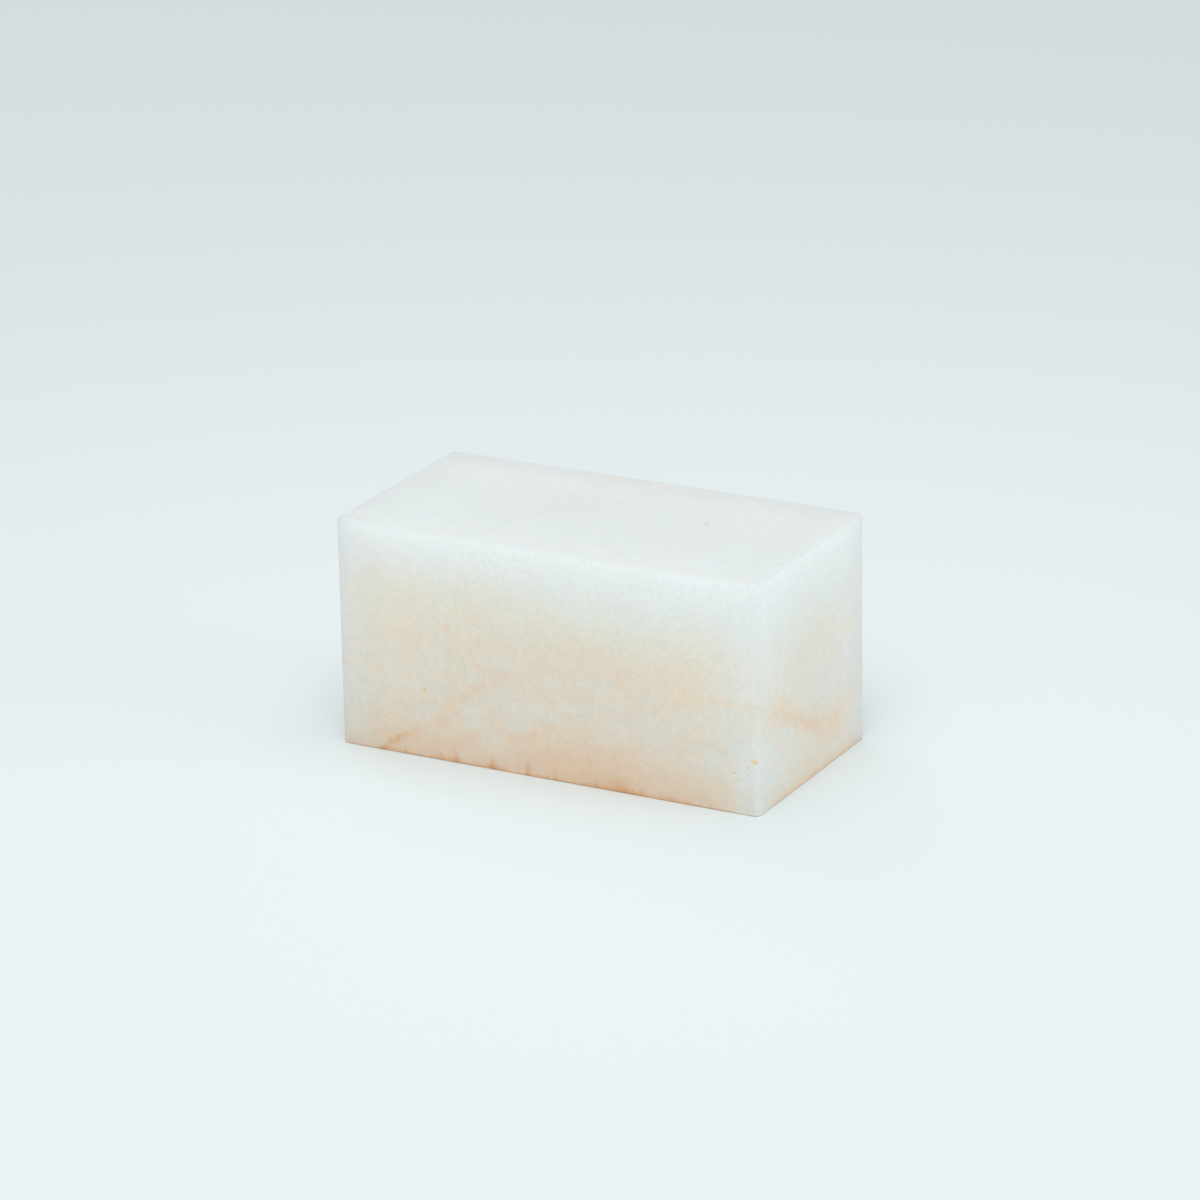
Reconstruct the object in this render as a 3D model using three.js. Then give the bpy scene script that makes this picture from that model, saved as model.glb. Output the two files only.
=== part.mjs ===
// A plain rectangular block, cut from one piece of pale veined stone and honed all over.
// Millimetres, +Z up. +X runs along the length and +Y from the front face to the back face.
// The origin is the centre of the bottom face, which the block rests on.
import * as THREE from "three";

// Driving dimensions: the overall size, and how far its edges are eased.
const LENGTH = 100;
const DEPTH = 51;
const HEIGHT = 51;
const CORNER_RADIUS = 1.5; // the four upright edges
const ARRIS_RADIUS = 0.8; // the eight edges round the top and bottom faces

// Facets along each quarter turn.
const CORNER_FACETS = 10;
const ARRIS_FACETS = 6;

const stone = new THREE.MeshStandardMaterial({
  name: "veined_stone",
  color: 0xe6e2d6,
  roughness: 0.42,
  metalness: 0,
});

// The block's plan view, drawn inside its true outline by `inset`, with its corners as arcs.
function planOutline(inset) {
  const x = LENGTH / 2 - inset;
  const y = DEPTH / 2 - inset;
  const r = CORNER_RADIUS - inset;
  const quarter = Math.PI / 2;
  const outline = new THREE.Shape();
  outline.absarc(x - r, y - r, r, 0, quarter);
  outline.absarc(-x + r, y - r, r, quarter, 2 * quarter);
  outline.absarc(-x + r, -y + r, r, 2 * quarter, 3 * quarter);
  outline.absarc(x - r, -y + r, r, 3 * quarter, 4 * quarter);
  outline.closePath();
  return outline;
}

// The bevel grows the outline to the full plan size and rounds the edges of the two end faces.
// It starts at -ARRIS_RADIUS, so the extrusion is lifted until the bottom face lies on Z = 0.
function blockGeometry() {
  const geometry = new THREE.ExtrudeGeometry(planOutline(ARRIS_RADIUS), {
    depth: HEIGHT - 2 * ARRIS_RADIUS,
    curveSegments: CORNER_FACETS / 2, // an arc is divided into twice this many
    bevelEnabled: true,
    bevelSize: ARRIS_RADIUS,
    bevelThickness: ARRIS_RADIUS,
    bevelSegments: ARRIS_FACETS,
  });
  geometry.translate(0, 0, ARRIS_RADIUS);
  return geometry;
}

const block = new THREE.Mesh(blockGeometry(), stone);
block.name = "block";

const part = new THREE.Group();
part.add(block);

export default part;
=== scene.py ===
import math

import bpy
import numpy as np
from mathutils import Matrix, Vector, noise


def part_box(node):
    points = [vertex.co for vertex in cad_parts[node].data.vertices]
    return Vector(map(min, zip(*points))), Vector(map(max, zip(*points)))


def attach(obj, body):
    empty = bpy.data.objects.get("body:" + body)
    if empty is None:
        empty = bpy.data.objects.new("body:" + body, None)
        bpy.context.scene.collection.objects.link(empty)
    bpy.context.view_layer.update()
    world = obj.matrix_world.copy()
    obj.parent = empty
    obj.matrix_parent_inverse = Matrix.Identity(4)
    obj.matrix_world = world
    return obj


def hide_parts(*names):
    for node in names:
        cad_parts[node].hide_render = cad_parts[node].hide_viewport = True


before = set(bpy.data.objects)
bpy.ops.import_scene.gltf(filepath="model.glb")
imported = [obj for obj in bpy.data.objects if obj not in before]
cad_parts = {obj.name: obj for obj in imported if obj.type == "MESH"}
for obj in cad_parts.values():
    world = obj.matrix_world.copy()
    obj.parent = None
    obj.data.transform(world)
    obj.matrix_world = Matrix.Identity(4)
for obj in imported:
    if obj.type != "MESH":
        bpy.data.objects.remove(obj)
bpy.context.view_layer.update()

# The block's box, in metres, and in the millimetres that the stone's pattern is drawn in.
MM = 0.001
LOW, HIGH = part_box("block")
SIZE = HIGH - LOW
CENTRE = (LOW + HIGH) / 2
LOW_MM, HIGH_MM, SIZE_MM = LOW / MM, HIGH / MM, SIZE / MM

# Shape of the worn surface.
CORNER_RADIUS = 1.5 * MM  # the four upright edges
ARRIS_RADIUS = 0.8 * MM  # round the top face
BASE_ARRIS_RADIUS = 0.3 * MM  # round the bottom face, which stayed crisper
FINE_CELL = 0.2 * MM  # mesh spacing along the edges
COARSE_CELL = 0.62 * MM  # and across the faces
FINE_BAND = 2.4 * MM


def spaced(low, high):
    """Grid lines from low to high: close together near both ends, further apart between them."""
    fine = np.linspace(0, FINE_BAND, round(FINE_BAND / FINE_CELL) + 1)
    middle = high - low - 2 * FINE_BAND
    coarse = np.linspace(0, middle, round(middle / COARSE_CELL) + 1)[1:-1]
    return np.concatenate([low + fine, low + FINE_BAND + coarse, high - fine[::-1]])


def box_grid(low, high):
    """Points and four-sided faces that cover a box with one closed grid."""
    lines = [spaced(low[axis], high[axis]) for axis in range(3)]
    last = [len(line) - 1 for line in lines]
    number, points, faces = {}, [], []

    def vertex(cell):
        if cell not in number:
            number[cell] = len(points)
            points.append([lines[axis][cell[axis]] for axis in range(3)])
        return number[cell]

    def corner(axis, side, i, j):
        cell = [0, 0, 0]
        cell[axis] = side
        cell[(axis + 1) % 3] = i
        cell[(axis + 2) % 3] = j
        return vertex(tuple(cell))

    for axis in range(3):
        for side in (0, last[axis]):
            for i in range(last[(axis + 1) % 3]):
                for j in range(last[(axis + 2) % 3]):
                    ring = [(i, j), (i + 1, j), (i + 1, j + 1), (i, j + 1)]
                    if side == 0:
                        ring.reverse()
                    faces.append([corner(axis, side, *place) for place in ring])
    return np.array(points), faces


def field(points, size, seed):
    """Smooth noise from -1 to 1 at each point, with bumps about `size` metres across."""
    shift = Vector((seed * 17.3, seed * 5.1, seed * 9.7))
    return np.array([noise.noise(Vector(point) / size + shift) for point in points])


def surface_distance(points, arris):
    """How far each point is outside the eased block. It is negative inside."""
    away = np.abs(points - np.array(CENTRE))
    half = np.array(SIZE) / 2
    plan = away[:, :2] - half[:2] + CORNER_RADIUS
    side = np.linalg.norm(np.maximum(plan, 0), axis=1) + np.minimum(plan.max(axis=1), 0)
    pair = np.stack([side - CORNER_RADIUS, away[:, 2] - half[2]], axis=1) + arris[:, None]
    outer = np.linalg.norm(np.maximum(pair, 0), axis=1)
    return outer + np.minimum(pair.max(axis=1), 0) - arris


def slope(points, arris):
    """The outward direction of the eased block's surface at each point."""
    step = 0.02 * MM
    parts = []
    for axis in range(3):
        shift = np.zeros(3)
        shift[axis] = step
        parts.append(surface_distance(points + shift, arris) - surface_distance(points - shift, arris))
    gradient = np.stack(parts, axis=1)
    return gradient / np.maximum(np.linalg.norm(gradient, axis=1, keepdims=True), 1e-12)


def worn_points(points):
    """Moves a box's grid onto the eased block, then wears it down a little, unevenly."""
    radius = np.where(points[:, 2] > CENTRE.z, ARRIS_RADIUS, BASE_ARRIS_RADIUS)
    arris = radius * (1 + 0.22 * field(points, 7 * MM, 1))
    for _ in range(8):
        points = points - surface_distance(points, arris)[:, None] * slope(points, arris)
    hollow = 0.5 + 0.5 * field(points, 16 * MM, 2)
    ripple = 0.5 + 0.5 * field(points, 5 * MM, 3)
    depth = (0.05 * hollow + 0.012 * ripple) * MM
    return points - depth[:, None] * slope(points, arris)


def stone_block():
    """The block as one closed, smooth-shaded mesh."""
    points, faces = box_grid(LOW, HIGH)
    mesh = bpy.data.meshes.new("stone_block")
    mesh.from_pydata(worn_points(points).tolist(), [], faces)
    mesh.shade_smooth()
    mesh.update()
    block = bpy.data.objects.new("stone_block", mesh)
    bpy.context.collection.objects.link(block)
    return block


# --- the stone -------------------------------------------------------------------------------------

# The stone's colour follows how much iron has stained it, from clear milky stone up to dark rust:
# each pair is an amount of iron, and linear red, green and blue.
IRON_COLOURS = [
    (0.00, (0.765, 0.835, 0.835)),
    (0.25, (0.790, 0.775, 0.702)),
    (0.50, (0.824, 0.718, 0.582)),
    (0.75, (0.836, 0.630, 0.465)),
    (1.00, (0.805, 0.520, 0.320)),
    (1.50, (0.620, 0.310, 0.130)),
]
SPECK = (0.880, 0.620, 0.300)
GREY = (0.430, 0.400, 0.340)

# How far in the drawn features reach from their own face, in millimetres: whole, then faded out.
WHOLE_DEPTH = 7.0
FADED_DEPTH = 15.0

# How much of a cloud or pocket has its full strength, as a fraction of its half sizes.
CLOUD_CORE = 0.1
POCKET_CORE = 0.4

# Lines are veins: the places that each runs through, its half width in millimetres, and its iron.
# Clouds and pockets are ovals: middle, half sizes, tilt in degrees, and the iron they add or take away.
# Places and half sizes are fractions of the face, along it from its left edge and then up it.
FRONT_LINES = [
    ([(0.24, 0.61), (0.27, 0.585), (0.29, 0.55), (0.315, 0.50), (0.335, 0.45), (0.375, 0.415)], 1.6, 0.13),
    ([(0.30, 0.545), (0.345, 0.55)], 1.1, 0.12),
    ([(0.345, 0.55), (0.43, 0.535), (0.505, 0.565), (0.565, 0.575)], 2.4, 0.05),
    ([(0.105, 0.01), (0.14, 0.07)], 1.7, 0.40),
    ([(0.135, 0.06), (0.165, 0.10)], 1.4, 0.32),
    ([(0.16, 0.095), (0.195, 0.13)], 0.9, 0.15),
    ([(0.25, 0.18), (0.265, 0.23)], 3.0, 0.17),
    ([(0.26, 0.22), (0.28, 0.285), (0.315, 0.33), (0.35, 0.37), (0.395, 0.405)], 2.7, 0.15),
    ([(0.18, 0.205), (0.20, 0.245)], 1.1, 0.08),
    ([(0.20, 0.245), (0.22, 0.25), (0.245, 0.265)], 0.9, 0.13),
    ([(0.18, 0.475), (0.20, 0.51), (0.22, 0.52)], 1.1, 0.07),
    ([(0.00, 0.365), (0.03, 0.345), (0.05, 0.31), (0.065, 0.29)], 1.0, 0.19),
    ([(0.00, 0.70), (0.04, 0.73), (0.085, 0.79), (0.115, 0.835)], 2.4, 0.05),
    ([(0.285, 0.675), (0.345, 0.655)], 2.0, 0.09),
    ([(0.635, 0.605), (0.655, 0.55), (0.67, 0.505), (0.68, 0.45)], 1.5, 0.09),
    ([(0.72, 0.53), (0.785, 0.50)], 2.0, 0.05),
    ([(0.81, 0.465), (0.85, 0.455), (0.895, 0.46)], 2.2, 0.10),
    ([(0.805, 0.59), (0.845, 0.555), (0.87, 0.57)], 2.0, 0.03),
    ([(0.395, 0.405), (0.45, 0.37), (0.52, 0.36), (0.61, 0.385)], 2.2, 0.06),
    ([(0.535, 0.31), (0.585, 0.295), (0.635, 0.315)], 2.0, 0.08),
    ([(0.465, 0.18), (0.505, 0.23), (0.555, 0.245), (0.61, 0.225)], 2.2, 0.10),
    ([(0.395, 0.095), (0.42, 0.17), (0.45, 0.20)], 1.6, 0.04),
    ([(0.82, 0.30), (0.90, 0.29), (0.925, 0.26)], 1.6, 0.12),
    ([(0.955, 0.455), (1.00, 0.47)], 0.9, 0.02),
    ([(0.345, 0.18), (0.355, 0.23)], 1.1, 0.16),
    ([(0.32, 0.11), (0.33, 0.15)], 0.9, 0.11),
    ([(0.27, 0.05), (0.30, 0.11)], 1.1, 0.07),
    ([(0.255, 0.385), (0.28, 0.38)], 1.4, 0.10),
]
FRONT_CLOUDS = [
    ((0.56, 0.47), (0.22, 0.16), 12, 0.02),
    ((0.80, 0.60), (0.16, 0.12), -15, 0.01),
    ((0.59, 0.11), (0.24, 0.19), 0, 0.13),
    ((0.47, 0.10), (0.10, 0.12), 0, 0.03),
    ((0.68, 0.03), (0.06, 0.08), 0, 0.19),
    ((0.88, 0.01), (0.12, 0.10), 0, 0.05),
    ((0.20, 0.02), (0.14, 0.10), 20, 0.05),
    ((0.17, 0.79), (0.32, 0.20), 0, 0.08),
    ((0.28, 0.01), (0.013, 0.07), 0, 0.28),
    ((0.37, 0.01), (0.016, 0.08), 0, 0.38),
    ((0.45, 0.01), (0.013, 0.08), -8, 0.36),
    ((0.52, 0.01), (0.009, 0.05), 0, 0.25),
    ((0.62, 0.01), (0.011, 0.06), 5, 0.17),
    ((0.73, 0.01), (0.009, 0.05), 0, 0.15),
]
FRONT_POCKETS = [
    ((0.385, 0.495), (0.065, 0.05), 0, 0.07),
    ((0.46, 0.295), (0.055, 0.05), 5, 0.07),
    ((0.43, 0.22), (0.045, 0.055), 20, 0.09),
    ((0.33, 0.215), (0.04, 0.08), -35, 0.10),
    ((0.21, 0.20), (0.04, 0.045), 25, 0.07),
    ((0.37, 0.12), (0.05, 0.08), -25, 0.10),
    ((0.625, 0.46), (0.055, 0.045), 5, 0.08),
    ((0.57, 0.345), (0.05, 0.03), 0, 0.11),
    ((0.765, 0.265), (0.05, 0.045), 0, 0.07),
    ((0.24, 0.45), (0.07, 0.08), 30, 0.04),
    ((0.88, 0.19), (0.05, 0.08), 0, 0.07),
    ((0.975, 0.10), (0.05, 0.16), 0, 0.16),
    ((0.03, 0.25), (0.06, 0.18), 0, 0.07),
    ((0.03, 0.07), (0.08, 0.12), 0, 0.06),
]

RIGHT_LINES = [
    ([(0.00, 0.47), (0.06, 0.45)], 0.9, 0.18),
    ([(0.10, 0.425), (0.18, 0.385), (0.30, 0.35)], 3.6, 0.05),
    ([(0.25, 0.355), (0.33, 0.315), (0.42, 0.275), (0.56, 0.205)], 2.6, 0.20),
    ([(0.56, 0.205), (0.68, 0.18), (0.84, 0.255)], 4.5, 0.03),
]
RIGHT_CLOUDS = [
    ((0.20, 0.37), (0.23, 0.13), -18, 0.20),
    ((0.16, 0.40), (0.12, 0.08), 0, 0.08),
    ((0.50, 0.25), (0.30, 0.15), -30, 0.22),
    ((0.71, 0.19), (0.23, 0.14), 10, 0.18),
    ((0.52, 0.62), (0.40, 0.26), 0, 0.06),
    ((0.45, 0.02), (0.42, 0.10), 0, 0.05),
]
RIGHT_POCKETS = [
    ((0.06, 0.23), (0.13, 0.12), 0, 0.06),
    ((0.90, 0.48), (0.14, 0.16), 0, 0.05),
    ((0.95, 0.08), (0.11, 0.15), 0, 0.13),
]

# The faces that are out of sight carry veins of the same kinds.
BACK_LINES = [
    ([(0.110, 0.430), (0.170, 0.470), (0.240, 0.460), (0.300, 0.520), (0.350, 0.610)], 1.8, 0.12),
    ([(0.240, 0.460), (0.290, 0.400), (0.310, 0.330)], 1.2, 0.09),
    ([(0.410, 0.160), (0.480, 0.250), (0.560, 0.290), (0.640, 0.370), (0.730, 0.400)], 2.1, 0.14),
    ([(0.560, 0.290), (0.620, 0.250), (0.700, 0.245)], 1.2, 0.09),
    ([(0.800, 0.010), (0.830, 0.080), (0.880, 0.130), (0.900, 0.210)], 1.8, 0.17),
    ([(0.000, 0.240), (0.050, 0.270), (0.090, 0.340)], 1.1, 0.10),
    ([(0.880, 0.560), (0.940, 0.600), (1.000, 0.680)], 1.9, 0.06),
    ([(0.610, 0.610), (0.680, 0.640), (0.740, 0.620)], 1.5, 0.06),
]
BACK_CLOUDS = [
    ((0.330, 0.060), (0.250, 0.190), 0, 0.13),
    ((0.280, 0.010), (0.080, 0.100), 0, 0.14),
    ((0.640, 0.400), (0.230, 0.160), 20, 0.06),
    ((0.780, 0.030), (0.150, 0.120), 0, 0.08),
    ((0.200, 0.450), (0.160, 0.150), 30, 0.04),
]
BACK_POCKETS = [
    ((0.470, 0.360), (0.060, 0.060), 30, 0.10),
    ((0.560, 0.190), (0.055, 0.055), 20, 0.11),
    ((0.370, 0.270), (0.050, 0.050), -10, 0.08),
    ((0.160, 0.260), (0.050, 0.070), 20, 0.08),
    ((0.760, 0.270), (0.060, 0.045), 0, 0.08),
    ((0.690, 0.500), (0.055, 0.040), 10, 0.05),
]

LEFT_LINES = [
    ([(0.860, 0.370), (0.930, 0.375), (1.000, 0.366)], 1.1, 0.12),
    ([(0.620, 0.330), (0.740, 0.350), (0.860, 0.370)], 1.6, 0.09),
    ([(0.840, 0.800), (0.920, 0.730), (1.000, 0.700)], 2.0, 0.06),
    ([(0.160, 0.010), (0.250, 0.100), (0.300, 0.210), (0.420, 0.280), (0.620, 0.330)], 1.8, 0.11),
]
LEFT_CLOUDS = [
    ((0.360, 0.100), (0.280, 0.180), 15, 0.09),
    ((0.620, 0.400), (0.240, 0.160), 20, 0.04),
]
LEFT_POCKETS = [
    ((0.560, 0.170), (0.110, 0.090), 30, 0.10),
    ((0.250, 0.380), (0.100, 0.070), 10, 0.06),
]

TOP_LINES = [
    ([(0.300, 1.000), (0.380, 0.940), (0.470, 0.955), (0.600, 1.000)], 1.4, 0.08),
    ([(0.330, 0.640), (0.400, 0.700), (0.470, 0.660)], 1.2, 0.05),
]
TOP_CLOUDS = [
    ((0.540, 0.940), (0.300, 0.240), 0, 0.08),
    ((0.420, 0.580), (0.300, 0.260), 20, 0.06),
    ((0.860, 0.780), (0.200, 0.260), 0, 0.04),
    ((0.750, 0.350), (0.200, 0.260), 0, 0.03),
]
TOP_POCKETS = [
    ((0.130, 0.300), (0.150, 0.300), 0, 0.05),
    ((0.900, 0.250), (0.120, 0.200), 0, 0.04),
]


class Nodes:
    """Wires up a material's nodes. Every value is a number, a tuple or another node's output."""

    def __init__(self, tree):
        self.tree = tree

    def feed(self, socket, value):
        if isinstance(value, bpy.types.NodeSocket):
            self.tree.links.new(value, socket)
        else:
            socket.default_value = value

    def make(self, kind, values, output=0, **settings):
        node = self.tree.nodes.new("ShaderNode" + kind)
        for name, setting in settings.items():
            setattr(node, name, setting)
        for socket, value in values.items():
            self.feed(node.inputs[socket], value)
        return node.outputs[output]

    def math(self, operation, *values):
        return self.make("Math", dict(enumerate(values)), operation=operation)

    def vector(self, operation, *values, output=0):
        return self.make("VectorMath", dict(enumerate(values)), output, operation=operation)

    def dot(self, first, second):
        return self.vector("DOT_PRODUCT", first, second, output="Value")

    def fade(self, value, low, high, start=0.0, end=1.0):
        """Eases from start to end as value goes from low to high, and stays level beyond them."""
        values = {"Value": value, "From Min": low, "From Max": high, "To Min": start, "To Max": end}
        return self.make("MapRange", values, interpolation_type="SMOOTHSTEP", clamp=False)

    def noise(self, at, size, detail=2.0, output="Fac"):
        """Noise with lumps about `size` millimetres across, averaging one half."""
        values = {"Vector": at, "Scale": 1 / size, "Detail": detail}
        return self.make("TexNoise", values, output)

    def mix(self, amount, first, second):
        return self.make("Mix", {0: amount, 6: first, 7: second}, 2, data_type="RGBA")

    def fold(self, operation, values):
        """The sum, product, smallest or largest of several values."""
        total = values[0]
        for value in values[1:]:
            total = self.math(operation, total, value)
        return total

    def warped(self, at, size, amount):
        """The same place, pushed about by noise, so that what is drawn there wanders."""
        push = self.vector("SUBTRACT", self.noise(at, size, 2.0, "Color"), (0.5, 0.5, 0.5))
        return self.vector("ADD", at, self.vector("MULTIPLY", push, (amount,) * 3))

    def ramp(self, value, stops):
        """A colour that follows value through the stops, which are pairs of a value and a colour."""
        top = stops[-1][0]
        node = self.tree.nodes.new("ShaderNodeValToRGB")
        while len(node.color_ramp.elements) < len(stops):
            node.color_ramp.elements.new(1.0)
        for element, (place, colour) in zip(node.color_ramp.elements, stops):
            element.position = place / top
            element.color = (*colour, 1.0)
        self.feed(node.inputs["Fac"], self.math("DIVIDE", value, top))
        return node.outputs["Color"]


class Face:
    """One face of the block: its own flat axes, for drawing by fractions of its width and height."""

    def __init__(self, nodes, corner, along, up, inward, at):
        self.nodes = nodes
        self.size = (abs(along.dot(SIZE_MM)), abs(up.dot(SIZE_MM)))
        offset = nodes.vector("SUBTRACT", at, tuple(corner))
        across = {0: nodes.dot(offset, tuple(along)), 1: nodes.dot(offset, tuple(up))}
        self.place = nodes.make("CombineXYZ", across)
        depth = nodes.dot(offset, tuple(inward))
        self.reach = nodes.fade(depth, WHOLE_DEPTH, FADED_DEPTH, 1.0, 0.0)

    def point(self, fractions):
        return Vector((fractions[0] * self.size[0], fractions[1] * self.size[1], 0))

    def line(self, fractions, half_width, iron):
        points = [self.point(pair) for pair in fractions]
        gaps = [self.gap(start, end) for start, end in zip(points, points[1:])]
        return self.nodes.fade(self.nodes.fold("MINIMUM", gaps), half_width, 0.0, 0.0, iron)

    def gap(self, start, end):
        """How far it is to a straight run from start to end."""
        nodes = self.nodes
        run = end - start
        offset = nodes.vector("SUBTRACT", self.place, tuple(start))
        share = nodes.dot(offset, tuple(run / run.length_squared))
        share = nodes.math("MAXIMUM", nodes.math("MINIMUM", share, 1.0), 0.0)
        nearest = nodes.make("VectorMath", {0: tuple(run), "Scale": share}, operation="SCALE")
        return nodes.vector("DISTANCE", offset, nearest, output="Value")

    def oval(self, core, middle, half_sizes, tilt, iron):
        scale = (half_sizes[0] * self.size[0], half_sizes[1] * self.size[1], 1.0)
        values = {"Vector": self.place, "Location": self.point(middle), "Scale": scale}
        values["Rotation"] = (0.0, 0.0, math.radians(tilt))
        local = self.nodes.make("Mapping", values, vector_type="TEXTURE")
        reach = self.nodes.vector("LENGTH", local, output="Value")
        return self.nodes.fade(reach, 1.0, core, 0.0, iron)

    def iron(self, lines, clouds, pockets, broken):
        """What the face's veins, clouds and pale pockets add, near the face."""
        nodes = self.nodes
        veins = nodes.fold("MAXIMUM", [self.line(*line) for line in lines])
        soft = [self.oval(CLOUD_CORE, *cloud) for cloud in clouds]
        added = nodes.fold("ADD", [nodes.math("MULTIPLY", veins, broken), *soft])
        taken = nodes.fold("MAXIMUM", [self.oval(POCKET_CORE, *pocket) for pocket in pockets])
        return nodes.math("MULTIPLY", self.reach, nodes.math("SUBTRACT", added, taken))


X, Y, Z = Vector((1, 0, 0)), Vector((0, 1, 0)), Vector((0, 0, 1))


def drawn_iron(nodes, at):
    """The features drawn on each face. They wander, and the veins break up and fade along their length."""
    loose = nodes.warped(nodes.warped(at, 11.0, 3.0), 2.2, 1.3)
    broken = nodes.fade(nodes.noise(at, 2.6, 3.0), 0.32, 0.62, 0.55, 1.15)
    left_front = LOW_MM
    right_front = Vector((HIGH_MM.x, LOW_MM.y, LOW_MM.z))
    right_back = Vector((HIGH_MM.x, HIGH_MM.y, LOW_MM.z))
    left_back = Vector((LOW_MM.x, HIGH_MM.y, LOW_MM.z))
    top_front = Vector((LOW_MM.x, LOW_MM.y, HIGH_MM.z))
    front = Face(nodes, left_front, X, Z, Y, loose)
    right = Face(nodes, right_front, Y, Z, -X, loose)
    back = Face(nodes, right_back, -X, Z, -Y, loose)
    left = Face(nodes, left_back, -Y, Z, X, loose)
    top = Face(nodes, top_front, X, Y, -Z, loose)
    return nodes.fold("ADD", [
        front.iron(FRONT_LINES, FRONT_CLOUDS, FRONT_POCKETS, broken),
        right.iron(RIGHT_LINES, RIGHT_CLOUDS, RIGHT_POCKETS, broken),
        back.iron(BACK_LINES, BACK_CLOUDS, BACK_POCKETS, broken),
        left.iron(LEFT_LINES, LEFT_CLOUDS, LEFT_POCKETS, broken),
        top.iron(TOP_LINES, TOP_CLOUDS, TOP_POCKETS, broken),
    ])


def separated(nodes, vector):
    node = nodes.tree.nodes.new("ShaderNodeSeparateXYZ")
    nodes.feed(node.inputs[0], vector)
    return node.outputs


class Place:
    """A point of the stone: where it is, and how far inside the block's faces, all in millimetres."""

    def __init__(self, nodes):
        position = nodes.make("TexCoord", {}, "Object")
        self.at = nodes.vector("MULTIPLY", position, (1 / MM,) * 3)
        x, y, z = separated(nodes, self.at)
        self.height = nodes.math("SUBTRACT", z, LOW_MM.z)
        self.sunk = nodes.math("SUBTRACT", SIZE_MM.z, self.height)
        self.from_left = nodes.math("SUBTRACT", x, LOW_MM.x)
        self.from_right = nodes.math("SUBTRACT", HIGH_MM.x, x)
        self.from_front = nodes.math("SUBTRACT", y, LOW_MM.y)
        self.from_back = nodes.math("SUBTRACT", HIGH_MM.y, y)


def broad_iron(nodes, place):
    """Iron that rises from almost none at the top to most at the base, and is less towards the two ends."""
    wander = nodes.fade(nodes.noise(place.at, 22.0), 0.3, 0.7, -2.0, 2.0)
    rise = nodes.fade(nodes.math("ADD", place.sunk, wander), 1.0, 26.0, 0.02, 0.40)
    stain = nodes.fade(place.height, 16.0, 0.0, 0.0, 0.29)
    left = nodes.fade(place.from_left, 0.0, 14.0, 0.72, 1.0)
    right = nodes.fade(place.from_right, 0.0, 19.0, 0.60, 1.0)
    return nodes.fold("MULTIPLY", [nodes.math("ADD", rise, stain), left, right])


def mottle(nodes, place):
    """Soft wisps of iron, a few millimetres long, that are clearer low down."""
    wisp = nodes.vector("MULTIPLY", nodes.warped(place.at, 7.0, 3.0), (0.45, 0.6, 1.0))
    amount = nodes.fade(place.height, SIZE_MM.z, 0.2 * SIZE_MM.z, 0.15, 1.0)
    coarse = nodes.fade(nodes.noise(wisp, 2.6, 4.0), 0.25, 0.75, -0.055, 0.055)
    fine = nodes.fade(nodes.noise(place.at, 1.1, 3.0), 0.25, 0.75, -0.018, 0.018)
    return nodes.math("MULTIPLY", nodes.math("ADD", coarse, fine), amount)


def base_line(nodes, place):
    """A rusty line along the base, with spikes, that leaves the near right-hand corner clear."""
    flat = nodes.vector("MULTIPLY", place.at, (1.0, 1.0, 0.0))
    spikes = nodes.fade(nodes.noise(flat, 1.3, 1.0), 0.55, 0.80, 0.0, 1.8)
    swell = nodes.fade(nodes.noise(flat, 9.0, 2.0), 0.35, 0.65, 0.45, 1.25)
    climb = nodes.math("MULTIPLY", nodes.math("ADD", 1.3, spikes), swell)
    line = nodes.fade(nodes.math("DIVIDE", place.height, climb), 1.0, 0.1, 0.0, 0.38)
    inset = nodes.fold("MINIMUM", [place.from_left, place.from_right, place.from_front, place.from_back])
    under = nodes.fade(inset, 1.0, 7.0, 1.0, 0.2)
    corner = nodes.fade(nodes.math("ADD", place.from_right, place.from_front), 3.5, 8.5)
    end = nodes.fade(place.from_left, 0.0, 6.0, 0.3, 1.0)
    return nodes.fold("MULTIPLY", [line, under, corner, end])


def specks(nodes, at, places, core):
    """One inside each small grain, which is given as a place and a radius."""
    found = []
    for place, radius in places:
        reach = nodes.vector("DISTANCE", at, tuple(place), output="Value")
        found.append(nodes.fade(reach, radius, core * radius))
    return nodes.fold("MAXIMUM", found)


def on_front(along, up):
    return Vector((LOW_MM.x + along * SIZE_MM.x, LOW_MM.y, LOW_MM.z + up * SIZE_MM.z))


def on_top(along, up):
    return Vector((LOW_MM.x + along * SIZE_MM.x, LOW_MM.y + up * SIZE_MM.y, HIGH_MM.z))


ORANGE_SPECKS = [
    (on_front(0.993, 0.236), 0.75),
    (on_front(0.985, 0.243), 0.45),
    (on_front(0.975, 0.208), 0.50),
    (on_front(0.943, 0.175), 0.45),
    (on_front(0.209, 0.302), 0.60),
    (on_front(0.236, 0.262), 0.45),
]
GREY_SPECKS = [
    (on_top(0.733, 0.585), 1.2),
    (on_top(0.988, 0.268), 0.7),
]


def stained_colour(nodes, place):
    """The stone's own colour: iron stain, and a few grains of other minerals."""
    iron = nodes.fold("ADD", [
        broad_iron(nodes, place),
        drawn_iron(nodes, place.at),
        mottle(nodes, place),
        base_line(nodes, place),
    ])
    colour = nodes.ramp(iron, IRON_COLOURS)
    loose = nodes.warped(place.at, 1.2, 0.7)
    colour = nodes.mix(specks(nodes, loose, ORANGE_SPECKS, 0.4), colour, (*SPECK, 1.0))
    grey = nodes.math("MULTIPLY", specks(nodes, loose, GREY_SPECKS, 0.2), 0.3)
    return nodes.mix(grey, colour, (*GREY, 1.0))


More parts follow.
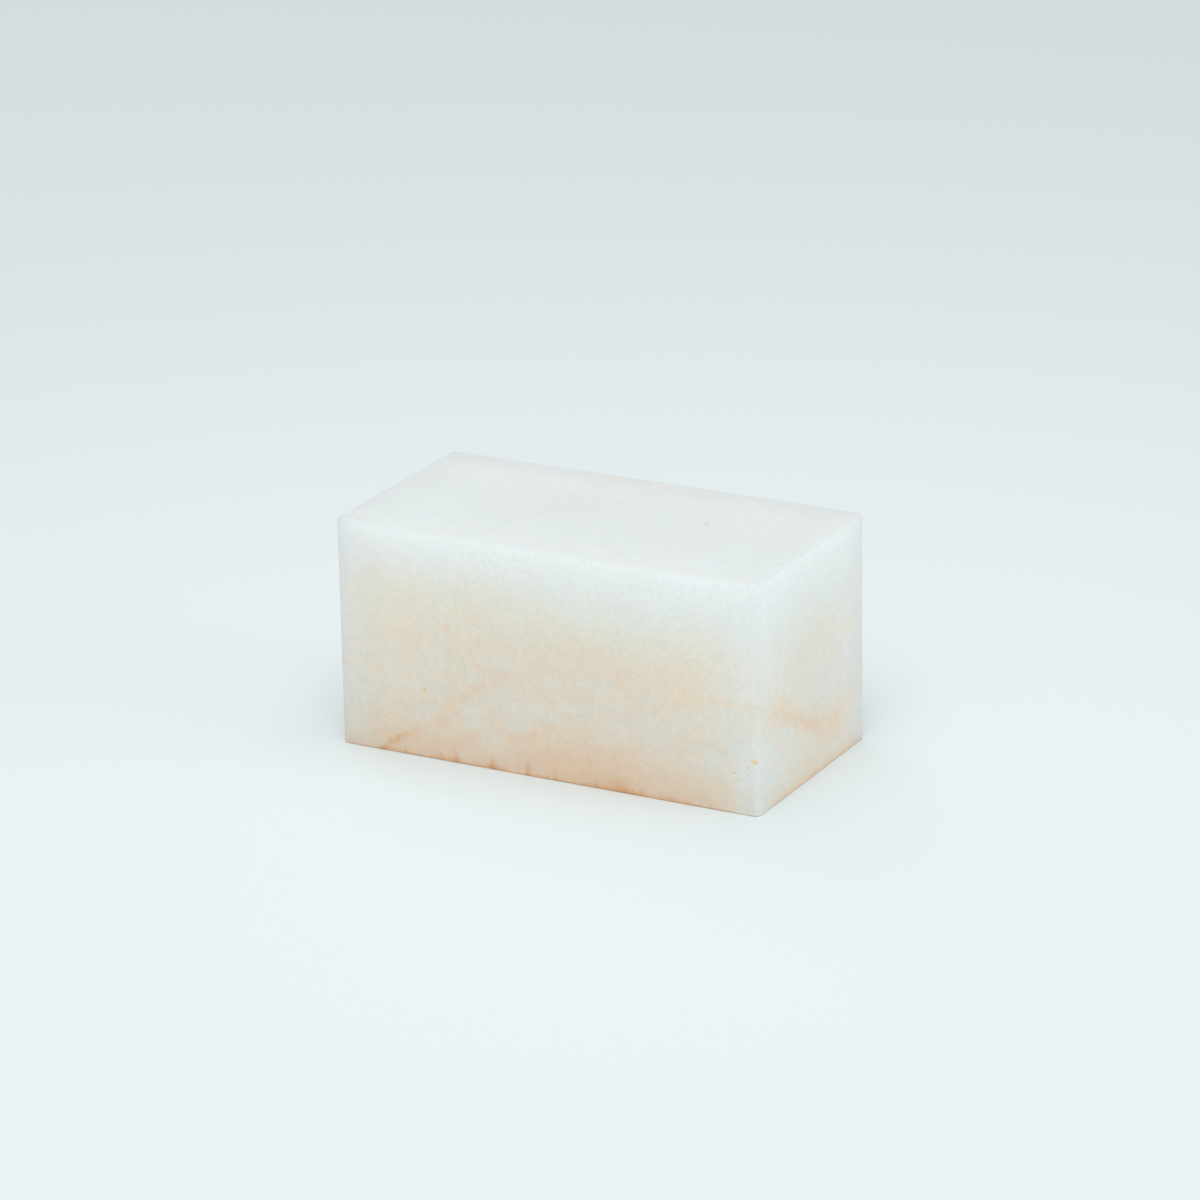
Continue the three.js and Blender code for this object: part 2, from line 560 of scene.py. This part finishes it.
# Painted shade: tones that the photo shows and the lamps here don't give are held in the stone's colour. They
# stand in for the studio's shading, and under other light they show as faint tones. Each is a level of
# brightness by a face, then the distances from that face, in millimetres, at which it starts to fade and is
# gone.
BACK_RIM = (0.915, 0.0, 11.0)
LEFT_RIM = (0.95, 0.0, 4.0)
LEFT_END = (0.945, 2.0, 16.0)
RIGHT_END = (0.97, 4.0, 14.0)
UPRIGHT_EDGES = (0.95, 0.0, 4.0)

# Painted shade: the top face is darker than the rest, and darkest by its front and right edges.
TOP_BY_EDGE = 0.892
TOP_INSIDE = 0.918

# The foot is lighter, which makes up for the shade between the block and the floor.
FOOT = 1.08


def by_face(nodes, distance, level, whole, gone):
    return nodes.fade(distance, whole, gone, level, 1.0)


def studio_shade(nodes, place):
    """The levels of the painted shade and painted light above, to be multiplied together."""
    near = nodes.math("MINIMUM", place.from_front, nodes.math("MULTIPLY", place.from_right, 0.25))
    top = nodes.fade(place.sunk, 0.2, 0.9, nodes.fade(near, 0.0, 5.0, TOP_BY_EDGE, TOP_INSIDE), 1.0)
    back_rim = by_face(nodes, place.from_back, *BACK_RIM)
    left_rim = by_face(nodes, place.from_left, *LEFT_RIM)
    rim = nodes.math("MINIMUM", back_rim, left_rim)
    left = by_face(nodes, place.from_left, *LEFT_END)
    right = by_face(nodes, place.from_right, *RIGHT_END)
    ends = nodes.math("MINIMUM", place.from_left, place.from_right)
    sides = nodes.math("MINIMUM", place.from_front, place.from_back)
    edges = by_face(nodes, nodes.math("MAXIMUM", ends, sides), *UPRIGHT_EDGES)
    lower = nodes.fade(place.height, 26.0, 8.0, 0.92, 1.0)
    upright = nodes.math("MAXIMUM", nodes.math("MULTIPLY", edges, right), lower)
    foot = nodes.fade(place.height, 1.0, 0.3, 1.0, FOOT)
    return [top, rim, left, upright, foot]


def grain(nodes, place):
    """The stone's neutral grain, and a coarser cloudiness that is clearer low down."""
    fine = nodes.fade(nodes.noise(place.at, 0.9, 3.0), 0.2, 0.8, 0.965, 1.035)
    amount = nodes.fade(place.sunk, 8.0, 26.0, 0.3, 1.0)
    lumps = nodes.fade(nodes.noise(place.at, 2.2, 4.0), 0.25, 0.75, -0.016, 0.016)
    cloudy = nodes.math("ADD", 1.0, nodes.math("MULTIPLY", lumps, amount))
    return [fine, cloudy]


def relief(nodes, place):
    """The slight bumps of a honed surface, fine and coarse."""
    coarse = nodes.math("MULTIPLY", nodes.noise(place.at, 2.8, 2.0), 0.8)
    bumps = nodes.math("ADD", nodes.noise(place.at, 0.5, 3.0), coarse)
    return nodes.make("Bump", {"Height": bumps, "Strength": 0.12, "Distance": 0.1 * MM})


def stone_material():
    material = bpy.data.materials.new("veined_stone")
    material.use_nodes = True
    nodes = Nodes(material.node_tree)
    inputs = material.node_tree.nodes["Principled BSDF"].inputs
    place = Place(nodes)

    colour = stained_colour(nodes, place)
    # The colour is multiplied by the painted shade and painted light of studio_shade and by the stone's own
    # grain.
    level = nodes.fold("MULTIPLY", [*studio_shade(nodes, place), *grain(nodes, place)])
    tone = nodes.make("CombineXYZ", {0: level, 1: level, 2: level})
    nodes.feed(inputs["Base Color"], nodes.vector("MULTIPLY", colour, tone))
    nodes.feed(inputs["Roughness"], nodes.fade(nodes.noise(place.at, 2.5, 4.0), 0.3, 0.7, 0.38, 0.52))
    nodes.feed(inputs["Normal"], relief(nodes, place))

    # Light goes deep into the clear stone near the top, and hardly into the stained stone at the base.
    inputs["IOR"].default_value = 1.5
    nodes.feed(inputs["Subsurface Weight"], nodes.fade(place.height, 0.0, 34.0, 0.1, 0.75))
    inputs["Subsurface Radius"].default_value = (1.0, 0.9, 0.8)
    inputs["Subsurface Scale"].default_value = 0.04
    return material


# The camera looks down on the near right-hand corner through a long lens.
AZIMUTH = math.radians(28.43)
ELEVATION = math.radians(19.80)
ROLL = math.radians(-1.05)
CAMERA_DISTANCE = 1.158
FIELD_OF_VIEW = math.radians(12.61)
AIM_ABOVE_CENTRE = 6.01 * MM
AIM_LEFT_OF_CENTRE = 0.29 * MM


def camera():
    data = bpy.data.cameras.new("camera")
    data.sensor_width = 36
    data.lens = data.sensor_width / 2 / math.tan(FIELD_OF_VIEW / 2)
    data.clip_start = 0.01
    data.clip_end = 50
    back = direction(AZIMUTH, ELEVATION)
    right = Vector((math.cos(AZIMUTH), math.sin(AZIMUTH), 0))
    turn = Matrix.Rotation(ROLL, 3, back)
    right = turn @ right
    up = back.cross(right)
    place = Matrix((right, up, back)).transposed().to_4x4()
    place.translation = CENTRE - AIM_LEFT_OF_CENTRE * right + AIM_ABOVE_CENTRE * up + CAMERA_DISTANCE * back
    eye = bpy.data.objects.new("camera", data)
    eye.matrix_world = place
    bpy.context.collection.objects.link(eye)
    bpy.context.scene.camera = eye


# The floor is a wide disc.
FLOOR_REACH = 8.0
FLOOR_SIDES = 96


def floor():
    mesh = bpy.data.meshes.new("floor")
    turns = np.linspace(0, math.tau, FLOOR_SIDES, endpoint=False)
    rim = [(FLOOR_REACH * math.cos(turn), FLOOR_REACH * math.sin(turn), LOW.z) for turn in turns]
    mesh.from_pydata(rim, [], [list(range(FLOOR_SIDES))])
    plane = bpy.data.objects.new("floor", mesh)
    bpy.context.collection.objects.link(plane)
    material = bpy.data.materials.new("pale_floor")
    material.use_nodes = True
    shader = material.node_tree.nodes["Principled BSDF"]
    shader.inputs["Base Color"].default_value = (0.80, 0.875, 0.895, 1)
    shader.inputs["Roughness"].default_value = 0.9
    shader.inputs["Specular IOR Level"].default_value = 0.0
    mesh.materials.append(material)


# Soft, neutral white light, from a pale room and four soft boxes: azimuth and elevation in degrees, as
# for the camera, then distance and width in metres, and power in watts.
LIGHT_COLOUR = (1.0, 1.0, 1.0)
ROOM_STRENGTH = 0.642
SOFT_BOXES = {
    "high_front": (20, 55, 1.5, 1.0, 5.85),
    "low_right": (95, 14, 1.6, 0.7, 3.08),
    "low_back": (235, 40, 1.8, 1.0, 1.83),
    "overhead": (0, 90, 0.4, 0.3, 0.27),
}


def direction(azimuth, elevation):
    """From the block towards a camera or light. Azimuth 0 is in front, and it turns towards the right end."""
    flat = math.cos(elevation)
    return Vector((math.sin(azimuth) * flat, -math.cos(azimuth) * flat, math.sin(elevation)))


def soft_box(name, azimuth, elevation, distance, width, power):
    data = bpy.data.lights.new(name, "AREA")
    data.shape = "DISK"
    data.size = width
    data.energy = power
    data.color = LIGHT_COLOUR
    lamp = bpy.data.objects.new(name, data)
    back = direction(math.radians(azimuth), math.radians(elevation))
    lamp.location = CENTRE + distance * back
    lamp.rotation_euler = back.to_track_quat("Z", "Y").to_euler()
    bpy.context.collection.objects.link(lamp)


def studio():
    world = bpy.data.worlds.new("studio")
    bpy.context.scene.world = world
    world.use_nodes = True
    backdrop = world.node_tree.nodes["Background"]
    backdrop.inputs["Color"].default_value = (*LIGHT_COLOUR, 1)
    backdrop.inputs["Strength"].default_value = ROOM_STRENGTH
    for name, values in SOFT_BOXES.items():
        soft_box(name, *values)
    bpy.context.scene.view_settings.view_transform = "Standard"


camera()
block = stone_block()
block.data.materials.append(stone_material())
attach(block, "root")
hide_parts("block")
floor()
studio()
